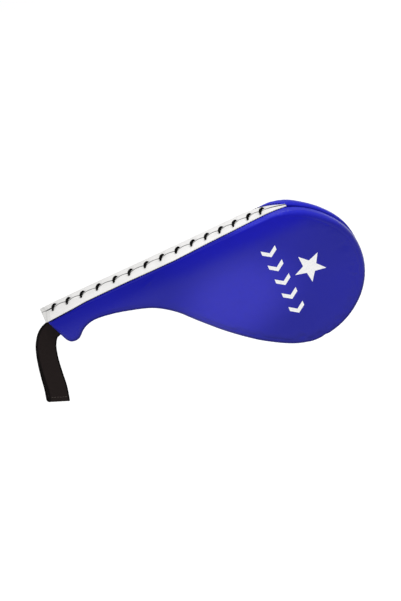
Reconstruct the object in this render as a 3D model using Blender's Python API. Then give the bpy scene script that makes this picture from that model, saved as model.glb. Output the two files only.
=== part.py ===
"""Double-leaf kick paddle: two padded leaves laced together along a straight spine, with a wrist strap.

Metres, origin at the middle of the grip. +X runs along the laced spine towards the round head, +Z points up
to the spine, and the front leaf's strike face looks along -Y. Each leaf is a pouch: a glossy cover, a soft
foam, a hard slap board, a thin backing pad, a lining on the side of the gap, and a batten in the grip.
"""

import math

import bmesh
import bpy
from mathutils import Vector

# Leaf outline in the X-Z plane
BUTT_X = -0.075  # the corner where the spine meets the butt edge
SPINE_Z = 0.0114
HEAD_X = 0.220
HEAD_Z = -0.076
HEAD_R = 0.090
HEAD_END_DEG = -92.0
HEAD_STEPS = 19
SPINE_STATIONS = (-0.056, -0.020, 0.020, 0.060, 0.100, 0.140, 0.180, 0.205)
LOWER_EDGE = (
    (0.200, -0.1622), (0.165, -0.1425), (0.125, -0.1085), (0.092, -0.0722), (0.075, -0.0520),
    (0.052, -0.0338), (0.022, -0.0230), (-0.005, -0.0166), (-0.024, -0.0152), (-0.0365, -0.0196),
)
LOWER_STEPS = 3
FLARE_X = -0.052  # the little-finger stop at the butt
FLARE_Z = -0.0195
FLARE_R = 0.0115
FLARE_START_DEG = -40.0
FLARE_STEPS = 7
CORNER_R = 0.002

# Leaf section, as distances from the middle plane of the gap
HALF_GAP = 0.0016
FACE_Y = 0.0195
RIM_R = 0.007  # edge of the strike face round the head and the lower edge
SPINE_EDGE_R = 0.0025  # the same edge along the spine, where it is creased
GAP_EDGE_R = 0.004
SKIN = 0.0014
CLEAR = 0.0003
CUT_PAST = 0.001  # how far the cut for the batten's pocket starts outside the foam
FOAM_Y = 0.0082
BOARD_Y = (0.0054, 0.0079)
BACKING_Y = (0.0033, 0.0051)
LINING_Y = (HALF_GAP, 0.0028)
FLANGE_INSET = 0.008
BOARD_INSET = 0.0025
BACKING_INSET = 0.0035
BATTEN_X = (-0.060, 0.048)
BATTEN_Z = (-0.0085, 0.0050)
BATTEN_Y = (0.0085, 0.0130)

# Gusset that closes the spine of each leaf: (x, distance of its outer edge from the middle) and (x, ridge z)
GUSSET_EDGE = (
    (-0.075, 0.0195), (0.025, 0.0189), (0.125, 0.0175), (0.175, 0.0150), (0.215, 0.0135), (0.232, 0.0085),
    (0.246, 0.0022),
)
GUSSET_RIDGE = (
    (-0.075, 0.0169), (0.025, 0.0174), (0.125, 0.0192), (0.200, 0.0204), (0.222, 0.0203), (0.236, 0.0158),
    (0.246, 0.0112),
)
GUSSET_THICK = 0.0012
SEAM_GAP = 0.00015
GUSSET_END = 0.246
GUSSET_STATIONS = (
    BUTT_X, -0.040, 0.025, 0.080, 0.125, 0.175, 0.200, 0.215, 0.222, 0.229, 0.236, 0.242, GUSSET_END,
)
GUSSET_STEPS = 6
WALL_LAP = 0.0002  # how far the closed butt end laps over the panel it is joined to

# Lace, one cord whipped over the ridge
STITCH_X = (
    -0.0595, -0.0405, -0.0215, 0.0000, 0.0225, 0.0430, 0.0645, 0.0855, 0.1065, 0.1270, 0.1460, 0.1650,
    0.1835, 0.2030, 0.2200,
)
LACE_R = 0.0011
LACE_HOLE_R = 0.0016
LACE_HOLE_Z = (0.0115, 0.0240)
STITCH_LEAN = 0.0035  # half the length of a stitch along the spine
STITCH_Y = 0.0053
LACE_LIFT = 0.0008

# Seam thread along the gusset's edge
THREAD_SIZE = 0.0005
THREAD_STEPS = 30
THREAD_END = 0.214
THREAD_BESIDE = 0.0006  # beside the gusset's edge, and never past the flat of the face
THREAD_Y_MAX = 0.01915
THREAD_ABOVE = 0.0007

# Wrist strap, its flex line at the butt, and the run of its middle line
STRAP_WIDTH = 0.025
STRAP_LAYER = 0.0011
FLEX_POINT = (-0.0691, -0.0090)
STRAP_RUN = (
    (-0.0790, -0.0135), (-0.0865, -0.0240), (-0.0915, -0.0390), (-0.0945, -0.0550), (-0.0965, -0.0700),
    (-0.0982, -0.0850), (-0.1020, -0.1035),
)
STRAP_STEPS = 16
STRAP_JOIN = 0.0048  # the two layers are one solid up to here
STRAP_SLIT = 0.00012
STRAP_SPREAD = (
    (0.000, 0.00065), (0.010, 0.0008), (0.035, 0.0032), (0.060, 0.0037), (0.085, 0.0032), (0.106, 0.0022),
)
TAIL_RUN = ((-0.0560, -0.0052), (-0.0440, -0.0022), (-0.0250, -0.0020))
TAIL_HALF = 0.0010
TAIL_WIDE = 0.0118  # half width in the grip; it widens towards the butt
TAIL_WIDENS_X = -0.050
TAIL_WIDENING = 0.04
BARTACK_X = -0.0500  # zigzag of thread that sews the tail down
BARTACK_PITCH = 0.0035
BARTACK_TURNS = 6
BARTACK_Y = 0.0013
BARTACK_Z = (-0.0100, 0.0050)
BARTACK_R = 0.0002

PU_BLUE = (0.030, 0.025, 0.360)
PU_WHITE = (0.720, 0.705, 0.690)
WEBBING_BLACK = (0.013, 0.011, 0.011)
LACE_BLACK = (0.010, 0.010, 0.010)
FOAM_GREY = (0.350, 0.350, 0.340)
BOARD_BLACK = (0.030, 0.030, 0.032)
PAD_GREY = (0.180, 0.180, 0.185)
BATTEN_WOOD = (0.480, 0.320, 0.170)
THREAD_BLUE = (0.020, 0.018, 0.160)


def lerp(a, b, t):
    return a + (b - a) * t


def smooth(t):
    t = min(max(t, 0.0), 1.0)
    return t * t * (3.0 - 2.0 * t)


def along(x, points):
    """Value at x on the broken line through (x, value) points."""
    for (x0, v0), (x1, v1) in zip(points, points[1:]):
        if x <= x1:
            return lerp(v0, v1, max(x - x0, 0.0) / (x1 - x0))
    return points[-1][1]


def direction(degrees):
    return Vector((math.cos(math.radians(degrees)), math.sin(math.radians(degrees))))


def inward(way):
    """Right-hand side of a direction: the inside of an outline that runs clockwise."""
    return Vector((way.y, -way.x))


def curve_through(points, start_way, end_way, steps):
    """Smooth run through points: a list of (point, direction), without the first point."""
    points = [Vector(p) for p in points]
    spans = [(b - a).length for a, b in zip(points, points[1:])]
    slopes = [start_way]
    for i in range(1, len(points) - 1):
        before = (points[i] - points[i - 1]) / spans[i - 1]
        after = (points[i + 1] - points[i]) / spans[i]
        slopes.append((before * spans[i] + after * spans[i - 1]) / (spans[i - 1] + spans[i]))
    slopes.append(end_way)
    run = []
    for i, span in enumerate(spans):
        a, b = points[i], points[i + 1]
        m0, m1 = slopes[i] * span, slopes[i + 1] * span
        for k in range(1, steps + 1):
            t = k / steps
            point = (a * (2 * t**3 - 3 * t**2 + 1) + m0 * (t**3 - 2 * t**2 + t)
                     + b * (3 * t**2 - 2 * t**3) + m1 * (t**3 - t**2))
            way = (a * (6 * t**2 - 6 * t) + m0 * (3 * t**2 - 4 * t + 1)
                   + b * (6 * t - 6 * t**2) + m1 * (3 * t**2 - 2 * t))
            run.append((point, way.normalized()))
    return run


def butt_way():
    """Direction of the butt edge, from the corner down to the flare it touches."""
    to_flare = Vector((FLARE_X - BUTT_X, FLARE_Z - SPINE_Z))
    slope = math.atan2(to_flare.y, to_flare.x) - math.asin(FLARE_R / to_flare.length)
    return Vector((math.cos(slope), math.sin(slope)))


def spine_top(x):
    """Height of the leaf's top edge at x."""
    if x <= HEAD_X:
        return lerp(SPINE_Z, HEAD_Z + HEAD_R, (x - BUTT_X) / (HEAD_X - BUTT_X))
    return HEAD_Z + math.sqrt(HEAD_R**2 - (x - HEAD_X) ** 2)


def edge_path():
    """The outline as (point, direction, rim weight), clockwise from the first point past the corner."""
    path = []
    for x in SPINE_STATIONS:
        path.append((Vector((x, spine_top(x))), Vector((1.0, 0.0)), 0.0))
    for k in range(HEAD_STEPS + 1):
        angle = lerp(90.0, HEAD_END_DEG, k / HEAD_STEPS)
        point = Vector((HEAD_X, HEAD_Z)) + HEAD_R * direction(angle)
        path.append((point, direction(angle - 90.0), smooth((90.0 - angle) / 40.0)))
    flare = Vector((FLARE_X, FLARE_Z))
    flare_start = flare + FLARE_R * direction(FLARE_START_DEG)
    lower = curve_through((path[-1][0],) + LOWER_EDGE + (flare_start,),
                          path[-1][1], direction(FLARE_START_DEG - 90.0), LOWER_STEPS)
    path += [(point, way, 1.0) for point, way in lower]
    butt_deg = math.degrees(math.atan2(butt_way().y, butt_way().x))
    flare_end_deg = butt_deg - 90.0
    for k in range(1, FLARE_STEPS + 1):
        angle = lerp(FLARE_START_DEG, flare_end_deg, k / FLARE_STEPS)
        path.append((flare + FLARE_R * direction(angle), direction(angle - 90.0), 1.0))
    return path


EDGE_PATH = edge_path()


def corner_points(inset):
    """The rounded corner between the butt edge and the spine, moved inwards by inset."""
    down = butt_way()
    half = math.acos(down.x) / 2
    bisector = (down + Vector((1.0, 0.0))).normalized()
    radius = max(CORNER_R - inset, 0.0004)
    centre = Vector((BUTT_X, SPINE_Z)) + bisector * (inset + radius) / math.sin(half)
    start_deg = math.degrees(math.atan2(down.y, down.x)) - 90.0
    return [centre + radius * direction(lerp(start_deg, -270.0, k / 3)) for k in range(4)]


def outline_ring(side, spine_inset, rim_inset, spine_y, rim_y):
    """Outline in 3-D: inset and depth may differ between the spine and the rest of the rim."""
    ring = []
    for point, way, weight in EDGE_PATH:
        flat = point + inward(way) * lerp(spine_inset, rim_inset, weight)
        ring.append(Vector((flat.x, side * lerp(spine_y, rim_y, weight), flat.y)))
    for flat in corner_points(spine_inset):
        ring.append(Vector((flat.x, side * spine_y, flat.y)))
    return ring


def face_ring(side, skin, turn):
    """Ring on the rounded edge of the strike face: turn 0 at the side wall, 1 at the flat face."""
    out = 1.0 - math.cos(turn * math.pi / 2)
    drop = 1.0 - math.sin(turn * math.pi / 2)
    spine_r, rim_r = SPINE_EDGE_R - skin, RIM_R - skin
    level = FACE_Y - skin
    return outline_ring(side, skin + spine_r * out, skin + rim_r * out,
                        level - spine_r * drop, level - rim_r * drop)


def gap_ring(side, skin, turn):
    """Ring on the rounded edge beside the gap: turn 0 at the side wall, 1 at the flat flange."""
    radius = GAP_EDGE_R - skin
    inset = skin + radius * (1.0 - math.cos(turn * math.pi / 2))
    y = HALF_GAP + skin + radius * (1.0 - math.sin(turn * math.pi / 2))
    return outline_ring(side, inset, inset, y, y)


def flat_ring(side, inset, y):
    return outline_ring(side, inset, inset, y, y)


def new_object(name, bm):
    """Make an object from a bmesh whose faces are turned outwards."""
    bmesh.ops.recalc_face_normals(bm, faces=bm.faces)
    mesh = bpy.data.meshes.new(name)
    bm.to_mesh(mesh)
    bm.free()
    obj = bpy.data.objects.new(name, mesh)
    bpy.context.scene.collection.objects.link(obj)
    return obj


def add_loft(bm, rings):
    """Closed solid through rings of the same count, with both ends capped."""
    rows = [[bm.verts.new(point) for point in ring] for ring in rings]
    count = len(rows[0])
    for low, high in zip(rows, rows[1:]):
        for k in range(count):
            n = (k + 1) % count
            bm.faces.new((low[k], low[n], high[n], high[k]))
    bm.faces.new(rows[0])
    bm.faces.new(rows[-1])


def loft(name, rings):
    bm = bmesh.new()
    add_loft(bm, rings)
    return new_object(name, bm)


def add_box(bm, middle, size):
    corners = []
    for sx, sy, sz in ((-1, -1, -1), (1, -1, -1), (1, 1, -1), (-1, 1, -1),
                       (-1, -1, 1), (1, -1, 1), (1, 1, 1), (-1, 1, 1)):
        offset = Vector((sx * size[0] / 2, sy * size[1] / 2, sz * size[2] / 2))
        corners.append(bm.verts.new(middle + offset))
    for face in ((3, 2, 1, 0), (4, 5, 6, 7), (0, 1, 5, 4), (1, 2, 6, 5), (2, 3, 7, 6), (3, 0, 4, 7)):
        bm.faces.new([corners[i] for i in face])


def finish(obj, colour, roughness):
    """Give an object its own material and smooth shading with sharp edges kept."""
    material = bpy.data.materials.new(obj.name)
    material.use_nodes = True
    shader = material.node_tree.nodes["Principled BSDF"]
    shader.inputs["Base Color"].default_value = (*colour, 1.0)
    shader.inputs["Roughness"].default_value = roughness
    shader.inputs["Metallic"].default_value = 0.0
    obj.data.materials.append(material)
    if obj.type == "MESH":
        obj.data.shade_smooth()
        obj.data.set_sharp_from_angle(angle=math.radians(35.0))
    return obj


def boolean(obj, cutter, operation):
    modifier = obj.modifiers.new(operation.lower(), "BOOLEAN")
    modifier.operation = operation
    modifier.solver = "EXACT"
    modifier.object = cutter
    cutter.hide_render = True
    cutter.display_type = "WIRE"


# ---- leaf pieces -------------------------------------------------------------------------------------

def cover(name, side):
    """Dish-shaped skin: strike face, rounded rim and a flange turned in round the lining."""
    rings = [face_ring(side, 0.0, turn) for turn in (1.0, 0.5, 0.0)]
    rings += [gap_ring(side, 0.0, turn) for turn in (0.0, 0.5, 1.0)]
    rings.append(flat_ring(side, FLANGE_INSET, HALF_GAP))
    rings.append(flat_ring(side, FLANGE_INSET, HALF_GAP + SKIN))
    rings += [gap_ring(side, SKIN, turn) for turn in (1.0, 0.5, 0.0)]
    rings += [face_ring(side, SKIN, turn) for turn in (0.0, 0.5, 1.0)]
    return finish(loft(name, rings), PU_BLUE, 0.22)


def foam(name, side):
    """Soft strike foam that fills the dish, with a pocket in the grip for the batten."""
    skin = SKIN + CLEAR
    rings = [face_ring(side, skin, turn) for turn in (1.0, 0.5, 0.0)]
    rings.append(flat_ring(side, skin, FOAM_Y))
    obj = loft(name, rings)
    bm = bmesh.new()
    size = (BATTEN_X[1] - BATTEN_X[0] + 2 * CLEAR, BATTEN_Y[1] + 2 * CLEAR - FOAM_Y + CUT_PAST,
            BATTEN_Z[1] - BATTEN_Z[0] + 2 * CLEAR)
    middle_y = (BATTEN_Y[1] + CLEAR + FOAM_Y - CUT_PAST) / 2
    add_box(bm, Vector((sum(BATTEN_X) / 2, side * middle_y, sum(BATTEN_Z) / 2)), size)
    boolean(obj, new_object("cut_" + name, bm), "DIFFERENCE")
    return finish(obj, FOAM_GREY, 0.9)


def plate(name, side, inset, y_range, colour, roughness):
    """Flat sheet with the outline of the leaf."""
    rings = [flat_ring(side, inset, y) for y in y_range]
    return finish(loft(name, rings), colour, roughness)


def batten(name, side):
    """Flat stiffener in the grip, with rounded ends."""
    half_width = (BATTEN_Z[1] - BATTEN_Z[0]) / 2
    middle_z = sum(BATTEN_Z) / 2
    rings = []
    for y in BATTEN_Y:
        ring = []
        for end, turn in ((BATTEN_X[1] - half_width, 90.0), (BATTEN_X[0] + half_width, -90.0)):
            for k in range(7):
                way = direction(turn - 30.0 * k)
                ring.append(Vector((end + half_width * way.x, side * y, middle_z + half_width * way.y)))
        rings.append(ring)
    return finish(loft(name, rings), BATTEN_WOOD, 0.6)


# ---- spine -------------------------------------------------------------------------------------------

def gusset_section(x, inset):
    """Quarter-oval section at x, from the face edge up to the seam: (distance from the middle, z)."""
    edge = along(x, GUSSET_EDGE) - inset
    base = spine_top(x) + CLEAR
    rise = max(along(x, GUSSET_RIDGE) - base - inset, 0.0001)
    return [(SEAM_GAP + (edge - SEAM_GAP) * math.cos(math.pi / 2 * k / GUSSET_STEPS),
             base + rise * math.sin(math.pi / 2 * k / GUSSET_STEPS)) for k in range(GUSSET_STEPS + 1)]


def surface_z(x, y):
    """Height of the gusset's outer surface above the point (x, y)."""
    edge = along(x, GUSSET_EDGE)
    base = spine_top(x) + CLEAR
    return base + (along(x, GUSSET_RIDGE) - base) * math.sqrt(1.0 - (y / edge) ** 2)


def stitch_holes(name, side):
    """Punched holes, one beside each stitch."""
    bm = bmesh.new()
    for x in STITCH_X:
        at = Vector((x + side * STITCH_LEAN, side * STITCH_Y, 0.0))
        rings = [[at + Vector((LACE_HOLE_R * direction(45.0 * k).x, LACE_HOLE_R * direction(45.0 * k).y, z))
                  for k in range(8)] for z in LACE_HOLE_Z]
        add_loft(bm, rings)
    return new_object(name, bm)


def gusset(name, side):
    """Curved spine panel with punched holes and a closed end at the butt."""
    rings = []
    for x in GUSSET_STATIONS:
        outer = gusset_section(x, 0.0)
        thick = min(GUSSET_THICK, 0.6 * (along(x, GUSSET_RIDGE) - spine_top(x) - CLEAR))
        inner = gusset_section(x, thick)
        rings.append([Vector((x, side * y, z)) for y, z in outer + inner[::-1]])
    obj = loft(name, rings)
    wall = []
    for x in (BUTT_X - GUSSET_THICK, BUTT_X + WALL_LAP):
        section = gusset_section(BUTT_X, -WALL_LAP)
        section.append((SEAM_GAP, section[0][1]))
        wall.append([Vector((x, side * y, z)) for y, z in section])
    boolean(obj, loft("join_" + name, wall), "UNION")
    boolean(obj, stitch_holes("cut_" + name, side), "DIFFERENCE")
    return finish(obj, PU_WHITE, 0.4)


def seam_thread(name, side):
    """Run of thread that sews the gusset to the cover, in the crease between them."""
    half = THREAD_SIZE / 2
    rings = []
    for k in range(THREAD_STEPS + 1):
        x = lerp(BUTT_X + 0.002, THREAD_END, k / THREAD_STEPS)
        y = min(along(x, GUSSET_EDGE) + THREAD_BESIDE, THREAD_Y_MAX)
        under = max(y - (FACE_Y - SPINE_EDGE_R), 0.0)
        z = spine_top(x) - SPINE_EDGE_R + math.sqrt(SPINE_EDGE_R**2 - under**2) + THREAD_ABOVE
        rings.append([Vector((x, side * (y + dy), z + dz))
                      for dy, dz in ((-half, -half), (half, -half), (half, half), (-half, half))])
    return finish(loft(name, rings), THREAD_BLUE, 0.7)


def lace_route():
    """Points of the lace: tucked end, fifteen turns over the ridge, tucked end."""
    first, last = STITCH_X[0], STITCH_X[-1]
    points = [(first - 0.010, 0.0, 0.0137), (first - 0.003, 0.0010, 0.0137)]
    for x in STITCH_X:
        rear_x, front_x = x + STITCH_LEAN, x - STITCH_LEAN
        top = surface_z(x, STITCH_Y) + LACE_R + LACE_LIFT
        ridge = along(x, GUSSET_RIDGE) + LACE_R + LACE_LIFT
        inside = surface_z(x, STITCH_Y) - GUSSET_THICK - LACE_R - CLEAR
        points.append((rear_x, STITCH_Y, inside - CLEAR))
        points.append((rear_x, STITCH_Y, top))
        points.append((x + 0.0012, 0.0018, ridge))
        points.append((x - 0.0012, -0.0018, ridge))
        points.append((front_x, -STITCH_Y, top))
        points.append((front_x, -STITCH_Y, inside))
    points += [(last - 0.001, -0.0005, 0.0160), (last + 0.001, 0.0, 0.0130), (last + 0.001, 0.0, 0.0010)]
    return points


def cord(name, route, radius, resolution, end_scale):
    """Round cord through the points of its route."""
    curve = bpy.data.curves.new(name, "CURVE")
    curve.dimensions = "3D"
    curve.bevel_depth = radius
    curve.bevel_resolution = resolution
    curve.use_fill_caps = True
    spline = curve.splines.new("POLY")
    spline.points.add(len(route) - 1)
    for point, place in zip(spline.points, route):
        point.co = (*place, 1.0)
    for end in (0, -1):
        spline.points[end].radius = end_scale
    obj = bpy.data.objects.new(name, curve)
    bpy.context.scene.collection.objects.link(obj)
    return obj


def spine_lace():
    """One continuous cord; its tucked ends are swollen where they are knotted."""
    return finish(cord("spine_lace", lace_route(), LACE_R, 2, 1.2), LACE_BLACK, 0.6)


# ---- wrist strap -------------------------------------------------------------------------------------

def strap_line():
    """Middle line of the hanging loop from the flex line: (length so far, point, direction)."""
    down = butt_way()
    out = Vector((down.y, -down.x))
    start = Vector(FLEX_POINT)
    end_way = (Vector(STRAP_RUN[-1]) - Vector(STRAP_RUN[-2])).normalized()
    run = [(start, out)] + curve_through((FLEX_POINT,) + STRAP_RUN, out, end_way, 3)
    line = []
    length = 0.0
    for k, (point, way) in enumerate(run):
        if k:
            length += (point - run[k - 1][0]).length
        line.append((length, point, way))
    return line


def strap_at(line, s):
    """Point and width direction at length s along the strap; past the ends it goes straight on."""
    if s <= 0.0:
        return line[0][1] + line[0][2] * s, inward(line[0][2])
    for (s0, p0, w0), (s1, p1, w1) in zip(line, line[1:]):
        if s <= s1:
            t = (s - s0) / (s1 - s0)
            return p0.lerp(p1, t), inward(w0.lerp(w1, t).normalized())
    return line[-1][1] + line[-1][2] * (s - line[-1][0]), inward(line[-1][2])


def wrist_strap():
    """Loop of flat webbing, folded at the bottom and a little open; its origin is on the flex line."""
    line = strap_line()
    length = line[-1][0]
    half = STRAP_LAYER / 2
    stations = [length * k / STRAP_STEPS for k in range(1, STRAP_STEPS + 1)]
    knuckle = along(0.0, STRAP_SPREAD) + half
    outer = [(knuckle * math.cos(a), -knuckle * math.sin(a)) for a in (math.pi, math.pi * 0.75, math.pi / 2)]
    inner = [(STRAP_JOIN - back, -STRAP_SLIT) for back in (0.0003, 0.0002, 0.0001)]
    for s in stations:
        spread = along(s, STRAP_SPREAD)
        outer.append((s, -(spread + half)))
        inner.append((max(s, STRAP_JOIN), -max(spread - half, STRAP_SLIT)))
    fold = along(length, STRAP_SPREAD)
    for angle in (-60.0, -30.0, 0.0, 30.0, 60.0):
        way = direction(angle)
        outer.append((length + (fold + half) * way.x, (fold + half) * way.y))
        inner.append((length + (fold - half) * way.x, (fold - half) * way.y))
    for s in reversed(stations):
        spread = along(s, STRAP_SPREAD)
        outer.append((s, spread + half))
        inner.append((max(s, STRAP_JOIN), max(spread - half, STRAP_SLIT)))
    outer += [(knuckle * math.cos(a), knuckle * math.sin(a)) for a in (math.pi / 2, math.pi * 0.75)]
    inner += [(STRAP_JOIN - back, STRAP_SLIT) for back in (0.0001, 0.0002)]

    def place(s, y, across):
        flat, width_way = strap_at(line, s)
        flat = flat + width_way * across
        return Vector((flat.x, y, flat.y)) - pivot

    pivot = Vector((FLEX_POINT[0], 0.0, FLEX_POINT[1]))
    bm = bmesh.new()
    loops = []
    for profile, across in ((outer, -1), (outer, 1), (inner, 1), (inner, -1)):
        loops.append([bm.verts.new(place(s, y, across * STRAP_WIDTH / 2)) for s, y in profile])
    count = len(outer)
    for a, b in zip(loops, loops[1:] + loops[:1]):
        for k in range(count):
            n = (k + 1) % count
            bm.faces.new((a[k], a[n], b[n], b[k]))
    obj = new_object("wrist_strap", bm)
    obj.location = pivot
    return finish(obj, WEBBING_BLACK, 0.8)


def strap_tail():
    """The strap's sewn-in end, which lies flat between the two linings."""
    down = butt_way()
    into = Vector((-down.y, down.x))
    start = Vector(FLEX_POINT) + into * (along(0.0, STRAP_SPREAD) + STRAP_LAYER / 2 + CLEAR)
    points = (tuple(start),) + TAIL_RUN
    run = [(start, into)] + curve_through(points, into, Vector((1.0, 0.0)), 3)
    rings = []
    for point, way in run:
        across = inward(way)
        half_width = min(STRAP_WIDTH / 2, TAIL_WIDE + max(TAIL_WIDENS_X - point.x, 0.0) * TAIL_WIDENING)
        a, b = point - across * half_width, point + across * half_width
        rings.append([Vector((a.x, -TAIL_HALF, a.y)), Vector((b.x, -TAIL_HALF, b.y)),
                      Vector((b.x, TAIL_HALF, b.y)), Vector((a.x, TAIL_HALF, a.y))])
    return finish(loft("strap_tail", rings), WEBBING_BLACK, 0.8)


def strap_bartack():
    """Zigzag of thread that sews the tail down."""
    route = []
    for k in range(BARTACK_TURNS):
        x = BARTACK_X + BARTACK_PITCH * k
        ends = (BARTACK_Z[0], BARTACK_Z[1]) if k % 2 else (BARTACK_Z[1], BARTACK_Z[0])
        route += [(x, BARTACK_Y, end) for end in ends]
    return finish(cord("strap_bartack", route, BARTACK_R, 1, 1.0), THREAD_BLUE, 0.7)


def build():
    for obj in list(bpy.data.objects):
        bpy.data.objects.remove(obj)
    for leaf, side in (("front", -1), ("rear", 1)):
        cover(leaf + "_cover", side)
        foam(leaf + "_foam", side)
        plate(leaf + "_board", side, BOARD_INSET, BOARD_Y, BOARD_BLACK, 0.5)
        plate(leaf + "_backing", side, BACKING_INSET, BACKING_Y, PAD_GREY, 0.9)
        plate(leaf + "_lining", side, FLANGE_INSET + CLEAR, LINING_Y, PU_BLUE, 0.35)
        batten(leaf + "_batten", side)
        gusset(leaf + "_gusset", side)
        seam_thread(leaf + "_seam_thread", side)
    spine_lace()
    strap_tail()
    strap_bartack()
    wrist_strap()


build()
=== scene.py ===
import math

import bmesh
import bpy
from mathutils import Matrix, Vector, noise
from mathutils.bvhtree import BVHTree
from mathutils.geometry import delaunay_2d_cdt
from mathutils.kdtree import KDTree


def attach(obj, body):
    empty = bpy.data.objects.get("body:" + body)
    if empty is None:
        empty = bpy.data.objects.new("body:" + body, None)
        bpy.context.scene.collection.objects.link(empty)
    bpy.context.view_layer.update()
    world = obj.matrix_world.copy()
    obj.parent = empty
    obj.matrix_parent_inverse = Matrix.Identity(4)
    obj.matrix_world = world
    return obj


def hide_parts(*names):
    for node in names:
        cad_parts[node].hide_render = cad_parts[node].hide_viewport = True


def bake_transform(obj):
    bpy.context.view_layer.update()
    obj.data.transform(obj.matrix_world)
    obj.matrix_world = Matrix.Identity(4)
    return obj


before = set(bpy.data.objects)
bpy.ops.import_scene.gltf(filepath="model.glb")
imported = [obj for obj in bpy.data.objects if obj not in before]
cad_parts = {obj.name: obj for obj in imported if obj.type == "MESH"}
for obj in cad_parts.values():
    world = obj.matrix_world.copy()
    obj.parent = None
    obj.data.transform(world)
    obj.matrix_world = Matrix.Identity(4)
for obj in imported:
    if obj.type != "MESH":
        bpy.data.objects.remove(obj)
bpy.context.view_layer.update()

scene = bpy.context.scene


# ==== Studio =========================================================================================
# A pale floor well below the hand-held paddle, soft boxes above it, and a long lens that looks down on
# the laced spine. The camera is rolled, so the spine climbs to the right.

VIEW_DISTANCE = 9.0
VIEW_HEIGHT = 0.733  # height of the picture at the paddle
VIEW_TILT = math.radians(28.0)
VIEW_TURN = math.radians(-1.2)
VIEW_ROLL = math.radians(23.7)
BUTT_CORNER = Vector((-0.075, -0.0195, 0.012))
BUTT_LEFT = 0.1872  # the butt corner's place, left of the picture's middle and below it
BUTT_BELOW = 0.0264
FLOOR_Z = -0.55
FLOOR_HALF = 90.0
FLOOR_WHITE = (0.93, 0.93, 0.93, 1.0)
FLOOR_GLOW = 0.36
FAR_LIMIT = 150.0  # past the floor's far edge
SENSOR_WIDTH = 36.0
SKY_LIGHT = 0.52
WHITE_LIGHT = (1.0, 1.0, 1.0, 1.0)


def place_camera():
    back = Vector((math.sin(VIEW_TURN) * math.cos(VIEW_TILT),
                   -math.cos(VIEW_TURN) * math.cos(VIEW_TILT), math.sin(VIEW_TILT)))
    level = Vector((math.cos(VIEW_TURN), math.sin(VIEW_TURN), 0.0))
    turn = Matrix.Rotation(-VIEW_ROLL, 3, back)
    right = turn @ level
    up = back.cross(right)
    data = bpy.data.cameras.new("studio_camera")
    data.sensor_width = SENSOR_WIDTH
    data.lens = data.sensor_width * VIEW_DISTANCE / VIEW_HEIGHT
    data.clip_end = FAR_LIMIT
    camera = bpy.data.objects.new("studio_camera", data)
    scene.collection.objects.link(camera)
    spot = BUTT_CORNER + right * BUTT_LEFT + up * BUTT_BELOW + back * VIEW_DISTANCE
    camera.matrix_world = Matrix.Translation(spot) @ Matrix((right, up, back)).transposed().to_4x4()
    scene.camera = camera


def add_soft_box(name, spot, aim, size, power):
    data = bpy.data.lights.new(name, "AREA")
    data.shape = "RECTANGLE"
    data.size, data.size_y = size
    data.energy = power
    light = bpy.data.objects.new(name, data)
    light.location = spot
    light.rotation_euler = (Vector(aim) - Vector(spot)).to_track_quat("-Z", "Y").to_euler()
    scene.collection.objects.link(light)


def lay_floor():
    bm = bmesh.new()
    bmesh.ops.create_grid(bm, x_segments=2, y_segments=2, size=FLOOR_HALF)
    mesh = bpy.data.meshes.new("floor")
    bm.to_mesh(mesh)
    bm.free()
    floor = bpy.data.objects.new("floor", mesh)
    floor.location.z = FLOOR_Z
    scene.collection.objects.link(floor)
    paint = bpy.data.materials.new("pale floor")
    paint.use_nodes = True
    shader = paint.node_tree.nodes["Principled BSDF"]
    shader.inputs["Base Color"].default_value = FLOOR_WHITE
    shader.inputs["Roughness"].default_value = 0.9
    shader.inputs["Specular IOR Level"].default_value = 0.0
    shader.inputs["Emission Color"].default_value = WHITE_LIGHT
    shader.inputs["Emission Strength"].default_value = FLOOR_GLOW
    mesh.materials.append(paint)


def light_the_room():
    world = bpy.data.worlds.new("studio")
    world.use_nodes = True
    sky = world.node_tree.nodes["Background"]
    sky.inputs["Color"].default_value = WHITE_LIGHT
    sky.inputs["Strength"].default_value = SKY_LIGHT
    scene.world = world
    scene.view_settings.view_transform = "Standard"
    add_soft_box("top_box", (0.25, -0.40, 1.70), (0.10, 0.0, 0.0), (1.6, 1.2), 11.5)
    add_soft_box("front_box", (-1.30, -1.50, 0.70), (0.10, 0.0, -0.06), (1.2, 1.2), 8.0)
    add_soft_box("back_box", (0.90, 1.50, 1.90), (0.10, 0.0, -0.06), (1.4, 1.4), 10.5)


place_camera()
lay_floor()
light_the_room()


# ==== Covers =========================================================================================
# Each leaf is a pad in a glossy coated leatherette skin: a flat strike face, a rim rolled over the foam and
# a turned-in edge beside the gap. The skin is cut in two panels, sewn, pulled over the foam and closed with
# the white gusset along the spine, so the rim puckers a little where it goes round the head.

HEAD = Vector((0.2215, -0.0757))
HEAD_R = 0.0918
HEAD_END_DEG = -92.0
HEAD_FLAT = 0.0012  # the head is a little flatter at its upper right
HEAD_FLAT_DEG = 40.0
HEAD_FLAT_REACH_DEG = 17.0
SPINE_START = Vector((-0.075, 0.0114))
SPINE_LIFT = (  # how far the filling lifts the top edge above a straight line
    (-0.075, 0.0), (-0.060, 0.0005), (-0.020, 0.0012), (0.020, 0.0012), (0.090, 0.0008), (0.120, 0.0010),
    (0.160, 0.0012), (0.215, 0.0016), (0.235, 0.0020), (0.255, 0.0014), (0.275, 0.0003), (0.290, 0.0),
)
LOWER_EDGE = (
    (0.200, -0.1632), (0.165, -0.1436), (0.125, -0.1093), (0.092, -0.0731), (0.075, -0.0531),
    (0.052, -0.0351), (0.022, -0.0237), (-0.005, -0.0171), (-0.024, -0.0158), (-0.0365, -0.0207),
)
FLARE = Vector((-0.052, -0.0197))
FLARE_R = 0.0117
FLARE_START_DEG = -40.0
HALF_GAP = 0.0016
FACE_Y = 0.0193
RIM_R = 0.0078
SPINE_EDGE_R = 0.0026
GAP_EDGE_R = 0.0034
CORNER_R = 0.002
VOXEL = 0.0024
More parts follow.
